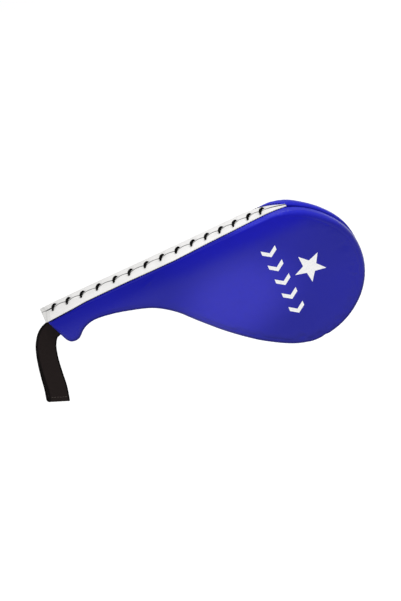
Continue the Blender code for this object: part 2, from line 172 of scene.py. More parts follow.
HELD_TO_X = 0.232  # the skin is sewn under the gusset as far as this
EDGE_STEP = 0.001
SWELL = 0.0022  # the most that the filling pushes the skin out
GROOVE_INSET = 0.0072  # the pressed line just inside the rim
GROOVE_DEPTH = 0.00075
GROOVE_HALF = 0.0011
PUCKER = 0.00017
PUCKER_INSET = 0.0035
PUCKER_HALF = 0.0032
UNEVEN = 0.00018  # broad unevenness of the filling
PINCH = HEAD + HEAD_R * Vector((0.108, -0.994))  # a small pinch in the rim, low on the head
PINCH_DEPTH = 0.0009
PINCH_R = 0.0035
REAR_LIFT = 0.0014  # the rear pad is filled a little fuller at the top of the head
REAR_LIFT_DROP = 0.10
NECK_FOLD = Vector((0.058, 0.0050))  # a soft fold below the seam, where the grip widens
NECK_FOLD_SLOPE = 0.35
NECK_FOLD_RISE = 0.0008
NECK_FOLD_HALF = 0.0028
NECK_FOLD_REACH = 0.011
BLUE_DEEP = (0.0040, 0.0058, 0.288)
BLUE_LIGHT = (0.0080, 0.0070, 0.520)
# painted light: the lighter blue of upward-facing skin at the head
BLUE_PAINTED_TOP_LIGHT = (0.0200, 0.0240, 0.640)
# painted shade: the darker blue of downward-facing skin
BLUE_PAINTED_UNDERSIDE_SHADE = (0.0050, 0.0050, 0.110)
BLUE_WORN = (0.0070, 0.0060, 0.270)
PAINTED_LIGHT_SPOT = (0.150, -0.064)  # the middle of the face, where a lighter blue is painted as light and the coat is thicker


def lerp(a, b, t):
    return a + (b - a) * t


def smooth(t):
    t = min(max(t, 0.0), 1.0)
    return t * t * (3.0 - 2.0 * t)


def bell(offset, reach):
    """1 where offset is 0, falling away on both sides over reach."""
    return math.exp(-((offset / reach) ** 2))


def direction(degrees):
    return Vector((math.cos(math.radians(degrees)), math.sin(math.radians(degrees))))


def inward(way):
    """Right-hand side of a direction: the inside of an outline that runs clockwise."""
    return Vector((way.y, -way.x))


def cubic(a, b, m0, m1, t):
    """Point at t on the curve from a to b that leaves along m0 and arrives along m1."""
    return (a * (2 * t**3 - 3 * t**2 + 1) + m0 * (t**3 - 2 * t**2 + t)
            + b * (3 * t**2 - 2 * t**3) + m1 * (t**3 - t**2))


def curve_through(points, start_way, end_way, steps):
    """Smooth run through points: a list of (point, direction), without the first point."""
    points = [Vector(p) for p in points]
    spans = [(b - a).length for a, b in zip(points, points[1:])]
    slopes = [start_way]
    for i in range(1, len(points) - 1):
        before = (points[i] - points[i - 1]) / spans[i - 1]
        after = (points[i + 1] - points[i]) / spans[i]
        slopes.append((before * spans[i] + after * spans[i - 1]) / (spans[i - 1] + spans[i]))
    slopes.append(end_way)
    run = []
    for i, span in enumerate(spans):
        a, b = points[i], points[i + 1]
        m0, m1 = slopes[i] * span, slopes[i + 1] * span
        for k in range(1, steps + 1):
            t = k / steps
            way = (a * (6 * t**2 - 6 * t) + m0 * (3 * t**2 - 4 * t + 1)
                   + b * (6 * t - 6 * t**2) + m1 * (3 * t**2 - 2 * t))
            run.append((cubic(a, b, m0, m1, t), way.normalized()))
    return run


def butt_way():
    """Direction of the butt edge, from the corner down to the flare it touches."""
    to_flare = FLARE - SPINE_START
    slope = math.atan2(to_flare.y, to_flare.x) - math.asin(FLARE_R / to_flare.length)
    return Vector((math.cos(slope), math.sin(slope)))


def along(x, points):
    """Value at x on the broken line through (x, value) points."""
    for (x0, v0), (x1, v1) in zip(points, points[1:]):
        if x <= x1:
            t = max(x - x0, 0.0) / (x1 - x0)
            return lerp(v0, v1, t)
    return points[-1][1]


def eased(x, points, reach=0.006):
    """along(), averaged over a short stretch so that it has no corners."""
    return sum(along(x + reach * k / 3, points) for k in range(-3, 4)) / 7


def spine_lift(x):
    return eased(x, SPINE_LIFT, 0.008)


def leaf_path():
    """The leaf's outline as (point, direction, rim weight), clockwise from past the butt corner."""
    path = []
    head_top = HEAD + Vector((0.0, HEAD_R))
    for k in range(60):
        x = lerp(-0.057, head_top.x - 0.003, k / 59)
        t = (x - SPINE_START.x) / (head_top.x - SPINE_START.x)
        z = lerp(SPINE_START.y, head_top.y, t) + spine_lift(x)
        path.append((Vector((x, z)), Vector((1.0, 0.0)), 0.0))
    for k in range(61):
        angle = lerp(90.0, HEAD_END_DEG, k / 60)
        flat = HEAD_FLAT * bell(angle - HEAD_FLAT_DEG, HEAD_FLAT_REACH_DEG)
        spot = HEAD + (HEAD_R - flat) * direction(angle)
        if angle > 0.0:
            spot.y += spine_lift(spot.x)
        path.append((spot, direction(angle - 90.0), smooth((90.0 - angle) / 40.0)))
    flare_start = FLARE + FLARE_R * direction(FLARE_START_DEG)
    lower = curve_through((path[-1][0],) + LOWER_EDGE + (flare_start,), path[-1][1],
                          direction(FLARE_START_DEG - 90.0), 9)
    path += [(point, way, 1.0) for point, way in lower]
    flare_end = math.degrees(math.atan2(butt_way().y, butt_way().x)) - 90.0
    for k in range(1, 17):
        angle = lerp(FLARE_START_DEG, flare_end, k / 16)
        path.append((FLARE + FLARE_R * direction(angle), direction(angle - 90.0), 1.0))
    return path


LEAF_PATH = leaf_path()


def corner_points(inset):
    """The corner between the butt edge and the spine, moved inwards by inset."""
    down = butt_way()
    half = math.acos(down.x) / 2
    bisector = (down + Vector((1.0, 0.0))).normalized()
    radius = max(CORNER_R - inset, 0.0004)
    centre = SPINE_START + bisector * (inset + radius) / math.sin(half)
    start = math.degrees(math.atan2(down.y, down.x)) - 90.0
    return [centre + radius * direction(lerp(start, -270.0, k / 5)) for k in range(6)]


def leaf_ring(spine_inset, rim_inset, spine_y, rim_y):
    """Outline of the front leaf in 3-D; inset and depth may differ between the spine and the rim."""
    ring = []
    for point, way, weight in LEAF_PATH:
        flat = point + inward(way) * lerp(spine_inset, rim_inset, weight)
        ring.append(Vector((flat.x, -lerp(spine_y, rim_y, weight), flat.y)))
    for flat in corner_points(spine_inset):
        ring.append(Vector((flat.x, -spine_y, flat.y)))
    return ring


def add_loft(bm, rings):
    """Closed solid through rings of the same count, with both ends capped."""
    rows = [[bm.verts.new(point) for point in ring] for ring in rings]
    count = len(rows[0])
    for low, high in zip(rows, rows[1:]):
        for k in range(count):
            n = (k + 1) % count
            bm.faces.new((low[k], low[n], high[n], high[k]))
    bm.faces.new(rows[0])
    bm.faces.new(rows[-1])


def split_caps(bm):
    """Cut the two big end faces of a loft into triangles."""
    bmesh.ops.triangulate(bm, faces=[f for f in bm.faces if len(f.verts) > 4])


def make_piece(name, bm, material, smooth_faces=True):
    """Turn a bmesh into a piece of the model."""
    bmesh.ops.recalc_face_normals(bm, faces=bm.faces)
    mesh = bpy.data.meshes.new(name)
    bm.to_mesh(mesh)
    bm.free()
    piece = bpy.data.objects.new(name, mesh)
    scene.collection.objects.link(piece)
    mesh.materials.append(material)
    if smooth_faces:
        mesh.shade_smooth()
    return piece


def note_values(piece, name, values):
    """Give every vertex a number that the finish can read."""
    column = piece.data.attributes.new(name, "FLOAT", "POINT")
    column.data.foreach_set("value", values)


def settle(piece):
    """Apply a piece's modifiers to its mesh."""
    graph = bpy.context.evaluated_depsgraph_get()
    mesh = bpy.data.meshes.new_from_object(piece.evaluated_get(graph), depsgraph=graph)
    piece.modifiers.clear()
    old = piece.data
    piece.data = mesh
    bpy.data.meshes.remove(old)
    mesh.shade_smooth()


def pad_shape(name, material):
    """Rounded solid of the front leaf, remeshed into even squares."""
    rings = []
    for turn in (1.0, 0.8, 0.6, 0.4, 0.2, 0.0):
        out = 1.0 - math.cos(turn * math.pi / 2)
        drop = 1.0 - math.sin(turn * math.pi / 2)
        spine_y = FACE_Y - SPINE_EDGE_R * drop
        rim_y = FACE_Y - RIM_R * drop
        rings.append(leaf_ring(SPINE_EDGE_R * out, RIM_R * out, spine_y, rim_y))
    for turn in (0.0, 0.25, 0.5, 0.75, 1.0):
        inset = GAP_EDGE_R * (1.0 - math.cos(turn * math.pi / 2))
        y = HALF_GAP + GAP_EDGE_R * (1.0 - math.sin(turn * math.pi / 2))
        rings.append(leaf_ring(inset, inset, y, y))
    bm = bmesh.new()
    add_loft(bm, rings)
    split_caps(bm)
    piece = make_piece(name, bm, material)
    remesh = piece.modifiers.new("even squares", "REMESH")
    remesh.mode = "VOXEL"
    remesh.voxel_size = VOXEL
    remesh.use_smooth_shade = True
    settle(piece)
    return piece


def spine_z(x):
    """Height of the leaf's top edge at x."""
    if x <= HEAD.x:
        straight = lerp(SPINE_START.y, HEAD.y + HEAD_R, (x - SPINE_START.x) / (HEAD.x - SPINE_START.x))
        return straight + spine_lift(x)
    return HEAD.y + math.sqrt(max(HEAD_R**2 - (x - HEAD.x) ** 2, 0.0)) + spine_lift(x)


def fill_with_foam(piece):
    """Press the skin out from inside, held where it is sewn: along the gap and under the gusset."""
    mesh = piece.data
    held = piece.vertex_groups.new(name="sewn")
    for vertex in mesh.vertices:
        x, y, z = vertex.co
        by_gap = 1.0 - smooth((-y - 0.004) / 0.006)
        by_spine = 1.0 - smooth((spine_z(x) - z - 0.0005) / 0.005) if x < HELD_TO_X else 0.0
        by_butt = 1.0 - smooth(((Vector((x, z)) - SPINE_START).dot(-inward(butt_way())) - 0.001) / 0.006)
        held.add([vertex.index], max(by_gap, by_spine, by_butt), "REPLACE")
    rest = [(vertex.co.copy(), vertex.normal.copy()) for vertex in mesh.vertices]
    cloth = piece.modifiers.new("filling", "CLOTH")
    cloth.settings.quality = 4
    cloth.settings.mass = 0.25
    cloth.settings.use_pressure = True
    cloth.settings.uniform_pressure_force = 4.0
    cloth.settings.tension_stiffness = 18.0
    cloth.settings.compression_stiffness = 18.0
    cloth.settings.shear_stiffness = 8.0
    cloth.settings.bending_stiffness = 1.5
    cloth.settings.vertex_group_mass = "sewn"
    cloth.settings.effector_weights.gravity = 0.0
    cloth.collision_settings.use_collision = False
    cloth.collision_settings.use_self_collision = False
    cloth.point_cache.frame_end = 20
    for step in range(1, 21):
        scene.frame_set(step)
    settle(piece)
    scene.frame_set(1)
    for vertex, (start, out) in zip(piece.data.vertices, rest):
        push = max((vertex.co - start).dot(out), 0.0)
        vertex.co = start + out * SWELL * (1.0 - math.exp(-push / SWELL))


def edge_finder():
    """Nearest point of the leaf's outline, for distances from the rim and runs along it."""
    points = []
    run = 0.0
    last = None
    for point, _, weight in LEAF_PATH + [(p, None, 0.0) for p in corner_points(0.0)]:
        if last is not None:
            steps = max(int((point - last[0]).length / EDGE_STEP), 1)
            for k in range(steps):
                t = k / steps
                spot = last[0].lerp(point, t)
                points.append((spot, run + (point - last[0]).length * t, lerp(last[1], weight, t)))
            run += (point - last[0]).length
        last = (point, weight)
    tree = KDTree(len(points))
    for index, (spot, _, _) in enumerate(points):
        tree.insert((spot.x, 0.0, spot.y), index)
    tree.balance()
    return tree, points


def press_rim(piece):
    """The line pressed just inside the rim, and the small puckers where the skin rolls over it."""
    tree, points = edge_finder()
    mesh = piece.data
    moves = []
    for vertex in mesh.vertices:
        x, y, z = vertex.co
        _, index, gap = tree.find((x, 0.0, z))
        _, run, weight = points[index]
        on_face = smooth((-y - 0.0135) / 0.004)
        pressed = 0.3 + 0.7 * smooth((z + 0.125) / 0.03) * smooth((x - 0.20) / 0.03)
        groove = GROOVE_DEPTH * pressed * bell(gap - GROOVE_INSET, GROOVE_HALF) * weight * on_face
        pinch = PINCH_DEPTH * bell((Vector((x, z)) - PINCH).length, PINCH_R)
        on_rim = bell(gap - PUCKER_INSET, PUCKER_HALF) * smooth((-y - 0.006) / 0.004)
        patch = smooth(noise.noise((run * 28.0, 3.7, 0.0)) * 1.6 + 0.35)
        fold = noise.noise((run * 210.0, gap * 60.0, 1.3))
        fold += 0.6 * noise.noise((run * 430.0, gap * 90.0, 8.1))
        pucker = PUCKER * weight * on_rim * patch * fold
        across_fold = (z - NECK_FOLD.y) - NECK_FOLD_SLOPE * (x - NECK_FOLD.x)
        far = (across_fold / NECK_FOLD_HALF) ** 2
        neck = math.exp(-far - ((x - NECK_FOLD.x) / NECK_FOLD_REACH) ** 2) * on_face
        uneven = UNEVEN * noise.noise((x * 24.0, 5.0 + y * 20.0, z * 24.0)) * smooth(gap / 0.012)
        broad = NECK_FOLD_RISE * neck + uneven
        moves.append(vertex.normal * (pucker + broad - groove - pinch))
    for vertex, move in zip(mesh.vertices, moves):
        vertex.co += move
    # which way each point faces, up at the head and down anywhere, read by the cover's painted top light and
    # painted underside shade
    turned = [vertex.normal.z * (smooth((vertex.co.x - 0.13) / 0.11) if vertex.normal.z > 0.0 else 1.0)
              for vertex in mesh.vertices]
    note_values(piece, "facing_up", turned)


class Value:
    """What a node gives out. Python's arithmetic on it adds the nodes for the sum."""

    def __init__(self, tree, socket):
        self.tree = tree
        self.socket = socket

    def maths(self, operation, *values):
        node = self.tree.nodes.new("ShaderNodeMath")
        node.operation = operation
        for slot, value in zip(node.inputs, values):
            join(self.tree, slot, value)
        return Value(self.tree, node.outputs[0])

    def __add__(self, other):
        return self.maths("ADD", self, other)

    def __radd__(self, other):
        return self.maths("ADD", other, self)

    def __sub__(self, other):
        return self.maths("SUBTRACT", self, other)

    def __rsub__(self, other):
        return self.maths("SUBTRACT", other, self)

    def __mul__(self, other):
        return self.maths("MULTIPLY", self, other)

    def __rmul__(self, other):
        return self.maths("MULTIPLY", other, self)

    def __pow__(self, other):
        return self.maths("POWER", self, other)

    def sine(self):
        return self.maths("SINE", self)

    def clamped(self):
        node = self.tree.nodes.new("ShaderNodeClamp")
        join(self.tree, node.inputs[0], self)
        return Value(self.tree, node.outputs[0])


def join(tree, slot, value):
    """Link a socket to a Value, or set it to a plain number, colour or vector."""
    if isinstance(value, Value):
        tree.links.new(value.socket, slot)
    elif isinstance(value, tuple) and slot.type == "RGBA" and len(value) == 3:
        slot.default_value = (*value, 1.0)
    else:
        slot.default_value = value


class Finish:
    """One material: a Principled shader and the nodes that feed it."""

    def __init__(self, name, **uniform):
        self.material = bpy.data.materials.new(name)
        self.material.use_nodes = True
        self.tree = self.material.node_tree
        self.shader = self.tree.nodes["Principled BSDF"]
        for socket, value in uniform.items():
            self.feed(socket.replace("_", " ").title().replace("Ior", "IOR"), value)

    def feed(self, socket, value):
        join(self.tree, self.shader.inputs[socket], value)

    def make(self, kind, settings, sockets, out=0):
        """Any node: its settings first, then the values or links of its sockets."""
        node = self.tree.nodes.new(kind)
        for key, value in settings.items():
            if key == "stops":
                ramp = node.color_ramp
                while len(ramp.elements) < len(value):
                    ramp.elements.new(0.5)
                for element, (spot, shade) in zip(ramp.elements, value):
                    element.position = spot
                    element.color = (shade, shade, shade, 1.0)
            else:
                setattr(node, key, value)
        for key, value in sockets.items():
            join(self.tree, node.inputs[key], value)
        return Value(self.tree, node.outputs[out])

    def place(self):
        return self.make("ShaderNodeTexCoord", {}, {}, "Object")

    def axis(self, place, letter):
        """One coordinate of a place."""
        return self.make("ShaderNodeSeparateXYZ", {}, {"Vector": place}, letter)

    def stretched(self, place, factors):
        return self.make("ShaderNodeMapping", {}, {"Vector": place, "Scale": factors})

    def noise(self, scale, detail=3.0, roughness=0.5, where=None):
        sockets = {"Vector": where or self.place(), "Scale": scale, "Detail": detail, "Roughness": roughness}
        return self.make("ShaderNodeTexNoise", {}, sockets)

    def cells(self, scale, where=None):
        sockets = {"Vector": where or self.place(), "Scale": scale}
        return self.make("ShaderNodeTexVoronoi", {"feature": "SMOOTH_F1"}, sockets)

    def attribute(self, name):
        return self.make("ShaderNodeAttribute", {"attribute_name": name}, {}, "Fac")

    def fade(self, value, start, end):
        """0 at start, 1 at end, eased between them."""
        sockets = {"Value": value, "From Min": start, "From Max": end}
        return self.make("ShaderNodeMapRange", {"interpolation_type": "SMOOTHSTEP"}, sockets)

    def ramp(self, value, stops):
        return self.make("ShaderNodeValToRGB", {"stops": stops}, {"Fac": value})

    def mix(self, factor, a, b):
        node = self.tree.nodes.new("ShaderNodeMix")
        node.data_type = "RGBA"
        join(self.tree, node.inputs[0], factor)
        join(self.tree, node.inputs[6], a)
        join(self.tree, node.inputs[7], b)
        return Value(self.tree, node.outputs[2])

    def bump(self, height, depth, strength=1.0, under=None):
        sockets = {"Height": height, "Distance": depth, "Strength": strength}
        if under is not None:
            sockets["Normal"] = under
        return self.make("ShaderNodeBump", {}, sockets)


def cover_finish():
    """Glossy coated leatherette: pebbled grain, faint scuffs, a shinier coat in the middle of the face;
    painted light as a lighter blue there, near the spine at the head and on upward-facing skin, and painted
    shade as a darker blue on downward-facing skin, which is also rougher.
    """
    finish = Finish("glossy_blue_leatherette", specular_ior_level=0.10, coat_roughness=0.14)
    place = finish.place()
    x, z, y = (finish.axis(place, letter) for letter in "XZY")
    outside = finish.fade(y * y, 0.006**2, 0.011**2)
    right = x - PAINTED_LIGHT_SPOT[0]
    above = (z - PAINTED_LIGHT_SPOT[1]) * 1.35
    reach = (right * right + above * above) ** 0.5
    # painted light: a lighter blue round the middle of the face; the coat is also thicker there
    painted_face_light = finish.fade(reach, 0.100, 0.025)
    # painted light: a lighter, more saturated blue near the spine at the head, with a thinner coat there
    painted_spine_light = finish.fade(z, -0.020, 0.008)
    by_head = finish.fade(x, 0.040, 0.170)
    facing = finish.attribute("facing_up")
    # painted light: upward-facing skin at the head is painted a lighter blue and given a thicker coat
    painted_top_light = finish.fade(facing, 0.15, 0.75)
    # painted shade: downward-facing skin is painted a darker blue, made rougher and given less coat
    painted_underside_shade = finish.fade(facing, -0.03, -0.45)
    drift = finish.ramp(finish.noise(7.0, 2.0), [(0.36, 0.0), (0.64, 1.0)])
    mottle = finish.noise(160.0, 4.0)
    # random tone plus painted light, mixed from the deep blue towards the lighter blue
    tone_and_painted_light = (0.02 + 0.18 * drift + 0.68 * painted_face_light + 0.40 * painted_spine_light * by_head).clamped()
    colour = finish.mix(tone_and_painted_light, BLUE_DEEP, BLUE_LIGHT)
    colour = finish.mix(painted_top_light, colour, BLUE_PAINTED_TOP_LIGHT)
    colour = finish.mix(painted_underside_shade * 0.8, colour, BLUE_PAINTED_UNDERSIDE_SHADE)
    finish.feed("Base Color", finish.mix((mottle - 0.5) * 0.35 + 0.10, colour, BLUE_WORN))
    streaks = finish.stretched(place, (1.0, 1.0, 6.0))
    scuff = finish.ramp(finish.noise(95.0, 6.0, 0.7, streaks), [(0.60, 0.0), (0.74, 1.0)])
    smudge = finish.noise(16.0, 3.0)
    finish.feed("Roughness", 0.50 + 0.16 * smudge + 0.10 * scuff + 0.45 * painted_underside_shade - 0.25 * outside)
    wiped = 0.28 + 0.36 * painted_face_light + 0.22 * painted_top_light
    finish.feed("Coat Weight", ((wiped - 0.30 * painted_spine_light - 0.20 * painted_underside_shade - 0.08 * scuff) * outside).clamped())
    pebbles = finish.bump(finish.cells(1500.0), 0.00003, 0.35)
    finish.feed("Normal", finish.bump(finish.noise(260.0, 3.0), 0.00008, 0.30, pebbles))
    return finish.material


blue_cover = cover_finish()
front_pad = pad_shape("front_leaf_cover", blue_cover)
fill_with_foam(front_pad)
finer = front_pad.modifiers.new("finer", "SUBSURF")
finer.levels = finer.render_levels = 1
settle(front_pad)
press_rim(front_pad)


def mirrored(piece, name):
    """The same piece for the rear leaf, turned over the middle of the gap."""
    mesh = piece.data.copy()
    for vertex in mesh.vertices:
        vertex.co.y = -vertex.co.y
    mesh.flip_normals()
    twin = bpy.data.objects.new(name, mesh)
    scene.collection.objects.link(twin)
    return twin


def lift_top(piece):
    """Raise the top edge of the head, where the filling is fuller."""
    for vertex in piece.data.vertices:
        x, _, z = vertex.co
        by_top = smooth((z + 0.015 - REAR_LIFT_DROP * abs(x - 0.245)) / 0.022)
        by_head = smooth((x - 0.205) / 0.035) * (1.0 - smooth((x - 0.250) / 0.025))
        vertex.co.z += REAR_LIFT * by_top * by_head


rear_pad = mirrored(front_pad, "rear_leaf_cover")
lift_top(rear_pad)
for pad, leaf in ((front_pad, "front"), (rear_pad, "rear")):
    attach(pad, leaf + "_leaf")
    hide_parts(leaf + "_cover")


# ==== Printed marks ===================================================================================
# A thin white ink print on each strike face, near the middle of the head: a solid star, and a row of five
# plain chevrons beside it. The ink follows the skin and stands a hair above it.

STAR_SPOT = (0.2465, -0.0665)
STAR_R = 0.0208
STAR_TURN_DEG = 114.0
CHEVRON_X = 0.2065
CHEVRON_Z = (-0.0260, -0.0475, -0.0690, -0.0905, -0.1120)
CHEVRON_LEAN = 0.05
CHEVRON_SIZE = (0.0095, 0.0072, 0.0060)  # half width, drop of the point, thickness
INK_LIFT = 0.00012
INK_STEP = 0.0011
INK_WHITE = (0.93, 0.93, 0.92)


def star_outline():
    corners = []
    for k in range(10):
        radius = STAR_R if k % 2 == 0 else STAR_R * 0.42
        corners.append(Vector(STAR_SPOT) + radius * direction(STAR_TURN_DEG + 36.0 * k))
    return corners


def chevron_outline(z):
    half, drop, thick = CHEVRON_SIZE
    shape = ((-half, thick / 2), (0.0, thick / 2 - drop), (half, thick / 2),
             (half, -thick / 2), (0.0, -thick / 2 - drop), (-half, -thick / 2))
    middle = Vector((CHEVRON_X - z * CHEVRON_LEAN, z + drop / 2))
    return [middle + Vector(point) for point in shape]


def lay_shape(bm, corners):
    """Fill an outline with small, even triangles."""
    points = []
    for a, b in zip(corners, corners[1:] + corners[:1]):
        count = max(int((b - a).length / INK_STEP), 1)
        points += [a.lerp(b, k / count) for k in range(count)]
    outline = list(range(len(points)))
    low = Vector((min(p.x for p in points), min(p.y for p in points)))
    high = Vector((max(p.x for p in points), max(p.y for p in points)))
    for i in range(int((high.x - low.x) / INK_STEP) + 1):
        for j in range(int((high.y - low.y) / INK_STEP) + 1):
            points.append(low + Vector((i + 0.5 * (j % 2), j)) * INK_STEP)
    spots, _, faces = delaunay_2d_cdt(points, [], [outline], 1, 1e-6)[:3]
    used = {index for face in faces for index in face}
    verts = {index: bm.verts.new((spots[index].x, 0.0, spots[index].y)) for index in used}
    for face in faces:
        bm.faces.new([verts[index] for index in face])


def surface_of(piece):
    """A piece's surface, for finding where a line meets it."""
    mesh = piece.data
    return BVHTree.FromPolygons([v.co for v in mesh.vertices], [p.vertices for p in mesh.polygons])


def print_marks(name, pad, side, material):
    """Flat shapes cut fine and laid onto the pad's face."""
    surface = surface_of(pad)
    bm = bmesh.new()
    for corners in [star_outline()] + [chevron_outline(z) for z in CHEVRON_Z]:
        lay_shape(bm, corners)
    for vertex in bm.verts:
        spot = Vector((vertex.co.x, side * 0.05, vertex.co.z))
        hit = surface.ray_cast(spot, Vector((0.0, -side, 0.0)))[0]
        vertex.co.y = hit.y + side * INK_LIFT
    skin = bmesh.ops.extrude_face_region(bm, geom=bm.faces[:])
    for item in skin["geom"]:
        if isinstance(item, bmesh.types.BMVert):
            item.co.y -= side * INK_LIFT * 1.6
    return make_piece(name, bm, material, smooth_faces=False)


def ink_finish():
    """Screen-print ink: white, a little thin in places, with the skin's grain showing through."""
    finish = Finish("white_print_ink", roughness=0.45)
    thin = finish.ramp(finish.noise(420.0, 5.0, 0.65), [(0.30, 0.0), (0.52, 1.0)])
    finish.feed("Base Color", finish.mix(thin, (0.78, 0.78, 0.84), INK_WHITE))
    finish.feed("Normal", finish.bump(finish.cells(1500.0), 0.00002, 0.3))
    return finish.material


white_ink = ink_finish()
for pad, leaf, side in ((front_pad, "front", -1), (rear_pad, "rear", 1)):
    marks = print_marks(leaf + "_print", pad, side, white_ink)
    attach(marks, leaf + "_leaf")


# ==== Linings =========================================================================================
# The side of each leaf that faces the gap is closed with a flat panel of the same leatherette, sewn inside
# the turned edge of the cover.

LINING_INSET = 0.0081
LINING_FRONT = 0.00130
LINING_BACK = 0.00185
LINING_BLUE = (0.009, 0.007, 0.26)


def lining_finish():
    """Satin leatherette, rubbed paler where the two leaves slap together."""
    finish = Finish("satin_blue_lining")
    rubbed = finish.ramp(finish.noise(11.0, 4.0, 0.6), [(0.42, 0.0), (0.70, 1.0)])
    finish.feed("Base Color", finish.mix(rubbed, LINING_BLUE, (0.020, 0.017, 0.34)))
    finish.feed("Roughness", 0.42 + 0.15 * rubbed)
    finish.feed("Normal", finish.bump(finish.cells(1100.0), 0.00003, 0.4))
    return finish.material


def lining_panel(name, material):
    rings = [leaf_ring(LINING_INSET + inset, LINING_INSET + inset, y, y)
             for inset, y in ((0.0006, LINING_FRONT), (0.0002, LINING_FRONT + 0.00006),
                              (0.0, LINING_FRONT + 0.0002), (0.0, LINING_BACK))]
    bm = bmesh.new()
    add_loft(bm, rings)
    split_caps(bm)
    return make_piece(name, bm, material, smooth_faces=False)


satin_lining = lining_finish()
front_panel = lining_panel("front_lining_panel", satin_lining)
rear_panel = mirrored(front_panel, "rear_lining_panel")
for panel, leaf in ((front_panel, "front"), (rear_panel, "rear")):
    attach(panel, leaf + "_leaf")
    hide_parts(leaf + "_lining")


# ==== Gussets =========================================================================================
# White leatherette closes the spine of each leaf: it is sewn to the blue face along the crease, folded over
# the foam to the middle, and folded in again at the butt. The lace pulls it into dimples and creases.

GUSSET_EDGE = {
    "front": (
        (-0.075, 0.0190), (-0.060, 0.0182), (-0.040, 0.0169), (-0.020, 0.0148), (0.040, 0.0143),
        (0.060, 0.0152), (0.100, 0.0153), (0.120, 0.0140), (0.140, 0.0124), (0.180, 0.0107),
        (0.205, 0.0093), (0.230, 0.0084), (0.242, 0.0060), (0.250, 0.0020),
    ),
    "rear": (
        (-0.075, 0.0192), (0.195, 0.0190), (0.214, 0.0160), (0.226, 0.0105), (0.238, 0.0062), (0.250, 0.0020),
    ),
}
GUSSET_END = 0.250
SIDE = {"front": -1, "rear": 1}
GUSSET_RIDGE = (
    (-0.075, 0.0169), (0.025, 0.0174), (0.125, 0.0192), (0.200, 0.0206), (0.222, 0.0207), (0.236, 0.0187),
    (0.250, 0.0145),
)
STITCH_X = (
    -0.0595, -0.0405, -0.0215, 0.0000, 0.0225, 0.0430, 0.0645, 0.0855, 0.1065, 0.1270, 0.1460, 0.1650,
    0.1835, 0.2030, 0.2200,
)
STITCH_LEAN = 0.0035
STITCH_Y = 0.0053
GUSSET_STEP = 0.0011
OVER_STEPS = 22
GUSSET_LIFT = 0.0002
SEAM_HALF = 0.00034
HEM_R = 0.0010
HEM_LAP = HEM_R * 0.6
SEAM_SWAY = 0.0038
FOLD_DENT = 0.0007  # creases at the butt, where the end is folded in
HOLE_DENT = 0.00065  # the dimple round a lace hole
HOLE_R = 0.0021
PULL_DENT = 0.00038  # the crease that the lace pulls from its hole
PULL_HALF = 0.0013
PULL_LENGTH = 0.006
UNDER_LACE_DENT = 0.00030
UNDER_LACE_HALF = 0.0015
CREASE_PAINTED_SHADE = 0.16  # painted shade: how much darker a crease is painted than the skin around it
WHITE = (0.95, 0.94, 0.93)


def seam_sway(x):
    """The seam arches towards the rear between the stitches, and each stitch pulls it back."""
    sway = 0.0003 * noise.noise((x * 60.0, 4.0, 0.0))
    for before, after in zip(STITCH_X, STITCH_X[1:]):
        if before <= x < after:
            sway += SEAM_SWAY * (math.sin(math.pi * ((x - before) / (after - before)) ** 0.75) - 0.4)
    return sway


def seam_open(x):
    """Half the width of the slit between the two hems."""
    by_butt = bell(x + 0.0665, 0.0035)
    closed = 1.0 - 0.8 * smooth((-0.0705 - x) / 0.002)
    return SEAM_HALF * closed + 0.0006 * by_butt + 0.0006 * smooth((x - 0.2235) / 0.02)


def gusset_dent(x, y):
    """Dimple at each lace hole, with a crease running from it towards the sewn edge."""
    side = 1.0 if y > 0 else -1.0
    dent = FOLD_DENT * bell(x - SPINE_START.x - 0.0052 + abs(y) * 0.24, 0.0011)
    dent += FOLD_DENT * 0.7 * bell(x - SPINE_START.x - 0.0085 + abs(y) * 0.22, 0.0010)
    for stitch in STITCH_X:
        hole = stitch + side * STITCH_LEAN
        if abs(x - hole) < 0.012:
            spread = (x - hole) ** 2
            dent += HOLE_DENT * math.exp(-(spread + (abs(y) - STITCH_Y) ** 2) / HOLE_R**2)
            past = max(abs(y) - STITCH_Y, 0.0)
            pulled = bell(x - hole - side * past * 0.25, PULL_HALF)
            dent += PULL_DENT * pulled * math.exp(-past / PULL_LENGTH)
            if abs(y) < STITCH_Y:
                dent += UNDER_LACE_DENT * bell(x - stitch - y * STITCH_LEAN / STITCH_Y, UNDER_LACE_HALF)
    return dent


def gusset_edge(x, leaf):
    """How far from the middle the gusset is sewn to the cover."""
    return eased(x, GUSSET_EDGE[leaf], 0.004)


def gusset_section(x, leaf, shrink):
    """Closed section at x: sewn edge, over the top to the hem, down the seam wall and back underneath."""
    side = SIDE[leaf]
    edge = gusset_edge(x, leaf) - shrink
    base = spine_z(x) + GUSSET_LIFT
    rise = max(eased(x, GUSSET_RIDGE, 0.005) - base - shrink, 0.0004)
    inner = side * seam_sway(x) + seam_open(x)
    points = []
    for k in range(OVER_STEPS + 1):
        turn = math.pi / 2 * k / OVER_STEPS
        y = inner + HEM_LAP + (edge - inner - HEM_LAP) * math.cos(turn)
        z = base + rise * math.sin(turn)
        z -= gusset_dent(x, side * y) * smooth(k / 5)
        z += 0.00022 * noise.noise((x * 95.0, side * y * 160.0, 2.0)) * smooth(k / 4)
        points.append((y, z))
    top = points[-1][1]
    for k in range(1, 5):
        turn = math.pi / 2 * k / 4
        points.append((inner + HEM_LAP * (1.0 - math.sin(turn)), top - HEM_R * (1.0 - math.cos(turn))))
    points.append((inner, lerp(top - HEM_R, base - 0.0004, 0.5)))
    points.append((inner, base - 0.0004))
    points.append((edge * 0.5, base - 0.0006))
    points.append((max(edge - 0.0011, inner + 0.0002), base - 0.0006))
    points.append((edge - 0.0002, base - 0.00055))
    return [Vector((x, side * y, z)) for y, z in points]


